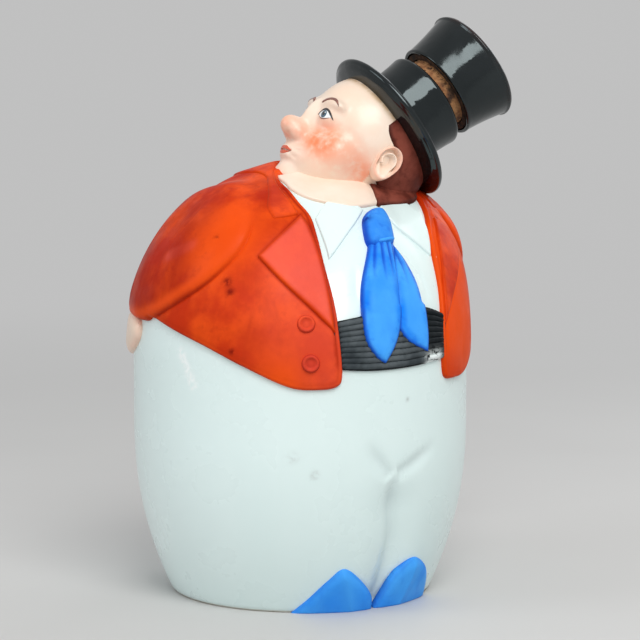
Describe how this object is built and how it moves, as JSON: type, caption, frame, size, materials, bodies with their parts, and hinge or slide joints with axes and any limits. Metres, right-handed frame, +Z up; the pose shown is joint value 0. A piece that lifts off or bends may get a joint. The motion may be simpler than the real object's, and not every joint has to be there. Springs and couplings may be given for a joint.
{
  "type": "painted flask",
  "caption": "Porcelain flask in the form of a stout gentleman in coat and top hat; the upper part of the hat is a stopper held by a tapered cork.",
  "frame": {"origin": "centre of the flat foot, on the surface that the flask stands on", "axes": "+Z up along the body's axis; -Y is the figure's front; +X is the side to which the head and hat lean"},
  "size_m": [0.0963, 0.086, 0.1403],
  "materials": {
    "white_glaze": "gloss white porcelain glaze",
    "red_enamel": "satin orange-red enamel, brushed",
    "blue_enamel": "satin royal blue enamel",
    "skin_enamel": "satin pale skin enamel with a blush",
    "hair_enamel": "satin red-brown enamel",
    "belt_enamel": "satin charcoal enamel",
    "black_glaze": "gloss black glaze",
    "cork": "matt natural cork, stained",
    "plaster": "matt set plaster"
  },
  "bodies": {
    "flask": {"flask_body": "white_glaze"},
    "stopper": {"stopper_crown": "black_glaze", "stopper_cork": "cork", "stopper_cement": "plaster"}
  },
  "joints": [
    {"name": "stopper_pull", "type": "slide", "parent": "flask", "child": "stopper", "axis": [0.8274, -0.1534, 0.5402], "range_m": [0, 0.034]}
  ]
}
